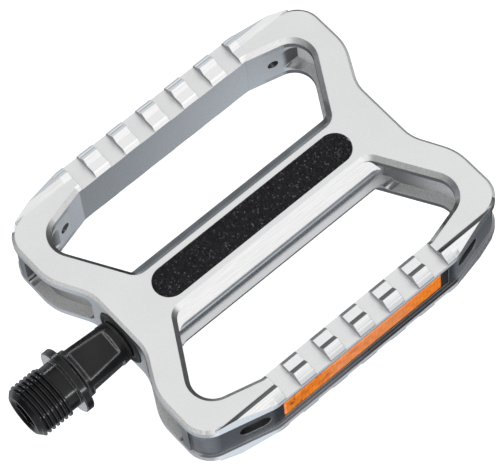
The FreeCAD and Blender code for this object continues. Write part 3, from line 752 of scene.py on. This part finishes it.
def grit_height(x, y, seed):
    """Crystal heights at the points, 0 on bare film. Each grain is a few flat facets."""
    rng = np.random.default_rng(seed)
    grid = tuple(int(size / GRAIN_CELL) + SPARE_CELLS for size in GRAIN_FIELD)
    facets = (*grid, GRAIN_FACETS)
    shift_x = rng.uniform(-0.42, 0.42, grid)
    shift_y = rng.uniform(-0.42, 0.42, grid)
    peak = rng.uniform(*GRAIN_HEIGHTS, grid) * (rng.uniform(0, 1, grid) > 0.04)
    turn = rng.uniform(0, 2 * np.pi, (*grid, 1))
    angle = (turn + np.arange(GRAIN_FACETS) * 2 * np.pi / GRAIN_FACETS
             + rng.uniform(-0.4, 0.4, facets))
    slope = rng.uniform(0.55, 2.3, facets)
    flat = rng.uniform(0.02, 0.10, grid)
    origin_x, origin_y = (-(cells * GRAIN_CELL) / 2 for cells in grid)
    cell_x = np.floor((x - origin_x) / GRAIN_CELL).astype(int)
    cell_y = np.floor((y - origin_y) / GRAIN_CELL).astype(int)
    best = np.zeros_like(x)
    for i in (-1, 0, 1):
        for j in (-1, 0, 1):
            grain = (np.clip(cell_x + i, 0, grid[0] - 1), np.clip(cell_y + j, 0, grid[1] - 1))
            from_x = x - (origin_x + (grain[0] + 0.5 + shift_x[grain]) * GRAIN_CELL)
            from_y = y - (origin_y + (grain[1] + 0.5 + shift_y[grain]) * GRAIN_CELL)
            fall = np.full_like(x, -1.0)
            for k in range(GRAIN_FACETS):
                facet = (*grain, k)
                run = from_x * np.cos(angle[facet]) + from_y * np.sin(angle[facet])
                fall = np.maximum(fall, (run - flat[grain]) * slope[facet])
            best = np.maximum(best, peak[grain] - np.maximum(fall, 0))
    return best


def grip_tape(name, node, side, seed):
    """Strip with rounded ends; side is 1 on the +Z face and -1 on the -Z face."""
    low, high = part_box(node)
    half_width = (high.x - low.x) / 2 / MM
    half_length = (high.y - low.y) / 2 / MM
    centre_y = (low.y + high.y) / 2 / MM
    underside = (low.z if side > 0 else high.z) / MM
    rows = np.arange(-half_length + TAPE_END_GAP, half_length - TAPE_END_GAP + 1e-6, TAPE_STEP)
    across = np.linspace(-1, 1, int(2 * half_width / TAPE_STEP))
    straight = half_length - half_width
    arc = np.sqrt(np.maximum(half_width * half_width - (np.abs(rows) - straight) ** 2, 0.0))
    half = np.where(np.abs(rows) > straight, arc, half_width)
    half = np.maximum(half, TAPE_MIN_HALF)
    x = across[None, :] * half[:, None]
    y = np.repeat(rows[:, None], len(across), 1)
    inset = np.minimum((1 - np.abs(across))[None, :] * half[:, None], half_length - np.abs(y))
    height = grit_height(x, y, seed) * np.clip(inset / BARE_EDGE, 0, 1)
    top = np.stack([x, y + centre_y, underside + side * (FILM + height * GRIT_RELIEF)], -1)
    base = top.copy()
    base[..., 2] = underside
    piece = new_piece(name, *sheet_solid(top * MM, base * MM), "grip_tape")
    # relative grain height, for the grit material
    relative = np.concatenate([(height / GRAIN_HEIGHTS[1]).reshape(-1), np.zeros(height.size)])
    attribute = piece.data.attributes.new("grit_height", "FLOAT", "POINT")
    attribute.data.foreach_set("value", np.clip(relative.astype(np.float32), 0, 1))
    fit_piece(piece, node)


grip_tape("grip_grit_top", "grip_tape_top", side=1, seed=11)
grip_tape("grip_grit_bottom", "grip_tape_bottom", side=-1, seed=23)

# ------------------------------------------------------------------ reflector lenses, in mm
PRISM_PITCH = 1.7
PRISM_DEPTH = 0.62
LENS_STEP = 0.14                 # mesh spacing
LENS_BEVEL = 0.62                # width of the bevelled border
LENS_BEVEL_SLOPE = 0.8
LENS_RIM = 0.75                  # plain rim around the prisms
LENS_RIM_BLEND = 0.1
LENS_BACK_GAP = 0.16             # prism peaks stand this far in from the back


def prism_height(u, v):
    """Cube-corner ruling: three sets of V grooves, 60 degrees apart. 0 in a groove."""
    nearest = np.full_like(u, np.inf)
    for k in range(3):
        angle = math.radians(60 * k + 30)
        ruling = (u * math.cos(angle) + v * math.sin(angle)) / PRISM_PITCH
        nearest = np.minimum(nearest, np.abs(ruling - np.round(ruling)))
    return np.clip(nearest * 2.0 / 0.66, 0, 1)


def reflector(name, node, side):
    """Prisms behind a bevelled face; side is 1 for the +X lens and -1 for the -X lens."""
    low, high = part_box(node)
    y0, y1, z0, z1 = low.y / MM, high.y / MM, low.z / MM, high.z / MM
    face = (high.x if side > 0 else low.x) / MM
    back = (low.x if side > 0 else high.x) / MM
    y, z = np.meshgrid(np.linspace(y0, y1, int((y1 - y0) / LENS_STEP)),
                       np.linspace(z0, z1, int((z1 - z0) / LENS_STEP)), indexing="ij")
    inset = np.minimum.reduce([y - y0, y1 - y, z - z0, z1 - z])
    front = face - side * np.clip(LENS_BEVEL - inset, 0, LENS_BEVEL) * LENS_BEVEL_SLOPE
    ruled = np.clip((inset - LENS_RIM) / LENS_RIM_BLEND, 0, 1)
    prisms = prism_height(y, z) * ruled
    rear = back + side * (LENS_BACK_GAP + PRISM_DEPTH * (1 - prisms) * ruled)
    solid = sheet_solid(np.stack([front, y, z], -1) * MM, np.stack([rear, y, z], -1) * MM)
    fit_piece(new_piece(name, *solid, "amber_lens"), node)


reflector("amber_lens_front", "reflector_lens_front", side=1)
reflector("amber_lens_rear", "reflector_lens_rear", side=-1)

# ------------------------------------------------------------------ rubber rings, in mm
LATHE_SEGMENTS = 120
# Profiles are closed loops of (radius, y from the ring's reference plane).
# dust lip, grease groove, main lip, and ribs that grip the bore
WIPER_Y = PLATFORM_Y_MM - 42.6
WIPER = [
    (5.27, -0.02), (5.27, -0.40), (5.55, -0.45), (5.85, -0.28), (6.05, 0.16), (6.65, 0.18),
    (6.85, -0.28), (7.10, -0.42), (7.42, -0.36), (7.49, 0.05), (7.40, 0.30), (7.49, 0.60),
    (7.40, 0.90), (7.49, 1.20), (7.40, 1.50), (7.49, 1.80), (7.40, 2.10), (7.49, 2.40),
    (7.44, 2.88), (6.90, 2.88), (6.60, 2.30), (6.10, 2.05), (5.75, 2.40), (5.45, 2.30),
    (5.27, 2.00), (5.50, 1.60), (5.62, 1.10), (5.48, 0.60)]
# stepped disc with a lip on the inner ring and a shallow annular groove
BEARING_SEAL = [
    (5.05, 0.12), (5.12, 0.02), (5.32, 0.0), (5.50, 0.10), (5.80, 0.10), (5.92, 0.0),
    (6.22, 0.0), (6.36, 0.05), (6.37, 0.26), (6.28, 0.31), (5.60, 0.31), (5.40, 0.26),
    (5.16, 0.31), (5.05, 0.24)]
BEARING_STARTS = {"inner": 22.0, "outer": 30.0}      # low-y face, from the platform centre
BEARING_WIDTH = 4.0
BEARING_SEAL_INSET = 0.1
ORING_Y = PLATFORM_Y_MM + 40.75
ORING_RADIUS = 7.09
ORING_SECTION = 0.35             # radius of its section
ORING_FLASH = 0.03               # height of the flash line
ORING_POINTS = 20


def placed(profile, y, facing=1):
    return [(radius, y + facing * offset) for radius, offset in profile]


def oring_loop():
    """Slightly flattened round section, with a flash line inside and outside."""
    loop = []
    for k in range(ORING_POINTS):
        angle = 2 * math.pi * k / ORING_POINTS
        section = ORING_SECTION * (1 - 0.05 * abs(math.sin(angle)) ** 4)
        flash = {0: ORING_FLASH, ORING_POINTS // 2: -ORING_FLASH}.get(k, 0.0)
        loop.append((ORING_RADIUS + section * math.cos(angle) + flash,
                     ORING_Y + section * math.sin(angle)))
    return loop


def rounded_loop(points):
    """Cut the corners of a closed loop twice, so lips and beads are rounded."""
    for _ in range(2):
        cut = []
        for (r0, y0), (r1, y1) in zip(points, points[1:] + points[:1]):
            cut += [(0.75 * r0 + 0.25 * r1, 0.75 * y0 + 0.25 * y1),
                    (0.25 * r0 + 0.75 * r1, 0.25 * y0 + 0.75 * y1)]
        points = cut
    return points


def lathe(loops):
    """Closed rings about the spindle axis, one for each loop."""
    verts, faces = [], []
    for loop in loops:
        first = len(verts)
        count = len(loop)
        for k in range(LATHE_SEGMENTS):
            angle = 2 * math.pi * k / LATHE_SEGMENTS
            for radius, y in loop:
                verts.append((radius * math.cos(angle) * MM, y * MM,
                              radius * math.sin(angle) * MM))
        for k in range(LATHE_SEGMENTS):
            here = first + k * count
            beyond = first + ((k + 1) % LATHE_SEGMENTS) * count
            for i in range(count):
                j = (i + 1) % count
                faces.append((here + i, here + j, beyond + j, beyond + i))
    return verts, faces


def rubber_ring(name, node, loops):
    solid = lathe([rounded_loop(loop) for loop in loops])
    piece = new_piece(name, *solid, "seal_rubber", smooth=True)
    fit_piece(piece, node)
    return piece


wiper_seal = rubber_ring("wiper_seal", "inboard_lip_seal", [placed(WIPER, WIPER_Y)])
rubber_ring("cap_oring", "end_cap_oring", [oring_loop()])
for tag, start in BEARING_STARTS.items():
    face_y = PLATFORM_Y_MM + start
    rubber_ring(tag + "_bearing_lips", tag + "_bearing_seals", [
        placed(BEARING_SEAL, face_y + BEARING_SEAL_INSET),
        placed(BEARING_SEAL, face_y + BEARING_WIDTH - BEARING_SEAL_INSET, facing=-1)])


# ------------------------------------------------------------------ floor
def studio_paper(net):
    """Pale paper to the lens. Reflections see it as the shaded side of the set."""
    light_path = net.node("ShaderNodeLightPath")
    fibre = net.noise(net.place(), scale=60.0, detail=4.0, rough=0.6)
    paper = net.mix(net.remap(fibre, span=(0.3, 0.7)), (0.90, 0.90, 0.905), (0.93, 0.93, 0.935))
    pale = net.make("ShaderNodeBsdfDiffuse", paper)
    glow_strength = 0.62
    glow = net.make("ShaderNodeEmission", (1, 1, 1), glow_strength)
    seen = net.make("ShaderNodeAddShader", pale, glow)

    # painted light and shade: reflections see an emission, its level set by the way back along
    # the ray and the place it hits
    back_x, back_y, back_z = net.split(net.geometry("Incoming"))
    x, y, _ = net.split(net.geometry("Position"))
    first_bounce = net.fade(light_path.outputs["Ray Depth"], off=1.6, on=1.4)
    # painted light on the floor near the pedal, seen only by rays heading towards +X
    near = net.mul(net.fade(x, off=-0.13, on=-0.08), net.fade(y, off=0.21, on=0.15),
                   net.fade(back_x, off=0.15, on=-0.15))
    # painted light: the sweep further out to either side is painted lit
    far = net.mul(net.fade(back_z, off=0.75, on=0.45),
                  net.fade(net.abs(back_x), off=0.45, on=0.75),
                  net.fade(net.abs(back_y), off=0.55, on=0.35))
    level = net.add(
        0.05,
        net.mul(net.fade(back_y, off=-0.12, on=0.26), 0.56),
        net.mul(net.fade(x, off=0.045, on=0.0, to=(0.0, 0.28)), near),
        net.mul(far, 0.65),
        net.mul(net.fade(back_y, off=-0.30, on=-0.42), near, 0.25))
    level = net.mul(level, net.mix_value(first_bounce, 0.45, 1.0))
    level = net.add(level, net.mul(net.fade(y, off=0.045, on=0.115), near,
                                   net.fade(x, off=0.03, on=-0.01, to=(0.0, 0.30))))
    shade = net.make("ShaderNodeEmission", (0.90, 0.95, 1.0), level)
    return net.make("ShaderNodeMixShader", light_path.outputs["Is Camera Ray"], shade, seen)


bpy.ops.mesh.primitive_plane_add(size=30.0, location=(0, PLATFORM_Y, FLOOR_Z))
floor = bpy.context.object
floor.name = "studio_floor"
floor.data.materials.append(material("studio_paper", studio_paper))


# ------------------------------------------------------------------ light
def studio_world(net):
    """White to the lens; otherwise a broad glow from +X and above with shaded sides."""
    direction = net.node("ShaderNodeTexCoord").outputs["Generated"]
    key = Vector((0.55, 0.05, 0.83)).normalized()
    lobe = net.dot(direction, tuple(key))
    x, y, z = net.split(direction)
    crank_side = net.mul(net.fade(y, off=-0.3, on=-0.8), net.fade(z, off=0.7, on=0.3))
    outboard = net.mul(net.fade(y, off=0.3, on=0.8), net.fade(z, off=0.6, on=0.1))
    rear = net.mul(net.fade(x, off=-0.7, on=-0.9), net.fade(net.abs(z), off=0.35, on=0.1))
    level = net.mul(net.fade(lobe, off=-0.35, on=0.55, to=(0.03, 0.93)),
                    net.invert(net.mul(crank_side, 0.6)), net.invert(net.mul(outboard, 0.85)))
    level = net.add(level, net.mul(rear, 0.5))
    colour = net.mix(net.fade(lobe, off=-0.3, on=0.5), (0.86, 0.93, 1.0), (1.0, 1.0, 1.0))
    studio = net.make("ShaderNodeBackground", colour, level)
    white_strength = 1.0
    white = net.make("ShaderNodeBackground", (1, 1, 1), white_strength)
    camera_ray = net.node("ShaderNodeLightPath").outputs["Is Camera Ray"]
    net.node("ShaderNodeOutputWorld",
             net.make("ShaderNodeMixShader", camera_ray, studio, white))


def area_light(name, location, target, size, power):
    light = bpy.data.lights.new(name, "AREA")
    light.shape = "RECTANGLE"
    light.size, light.size_y = size
    light.energy = power
    light.spread = math.pi
    lamp = bpy.data.objects.new(name, light)
    bpy.context.scene.collection.objects.link(lamp)
    lamp.location = location
    aim = Vector(target) - Vector(location)
    lamp.rotation_euler = aim.to_track_quat("-Z", "Y").to_euler()
    return lamp


world = bpy.data.worlds.new("studio")
bpy.context.scene.world = world
world.use_nodes = True
studio_world(Net(world.node_tree))

area_light("softbox_side", location=(0.85, 0.30, 0.45), target=(0, PLATFORM_Y, 0),
           size=(0.45, 0.30), power=0.05)

# two long strips that only the spindle and the wiper seal pick up
dark_pieces = bpy.data.collections.new("dark_pieces")
dark_pieces.objects.link(frame["nodes"]["spindle"])
dark_pieces.objects.link(wiper_seal)
collar = (0, 0.002, 0)
strips = (
    area_light("strip_right", location=(0.485, 0.03, 0.11), target=collar,
               size=(0.40, 0.045), power=1.0),
    area_light("strip_left", location=(-0.46, 0.03, 0.16), target=collar,
               size=(0.40, 0.035), power=0.6))
for strip in strips:
    strip.light_linking.receiver_collection = dark_pieces

# ------------------------------------------------------------------ camera
CAMERA_AT = (0.312298, -0.153547, 0.732354)
# camera axes in world space
CAMERA_RIGHT = Vector((0.65418745, 0.75391408, -0.06043466))
CAMERA_DOWN = Vector((0.65449466, -0.60433838, -0.45432573))
CAMERA_AHEAD = Vector((-0.37904555, 0.25766003, -0.88878331))

camera_data = bpy.data.cameras.new("camera")
camera_data.sensor_fit = "HORIZONTAL"
camera_data.sensor_width = 36.0
camera_data.lens = 244.63
camera_data.clip_start = 0.01
camera_data.clip_end = 100.0
camera = bpy.data.objects.new("camera", camera_data)
bpy.context.scene.collection.objects.link(camera)
turn = Matrix((CAMERA_RIGHT, -CAMERA_DOWN, -CAMERA_AHEAD)).transposed()
camera.matrix_world = Matrix.Translation(CAMERA_AT) @ turn.to_4x4()
bpy.context.scene.camera = camera
bpy.context.scene.view_settings.view_transform = "Standard"
bpy.context.scene.view_settings.look = "None"
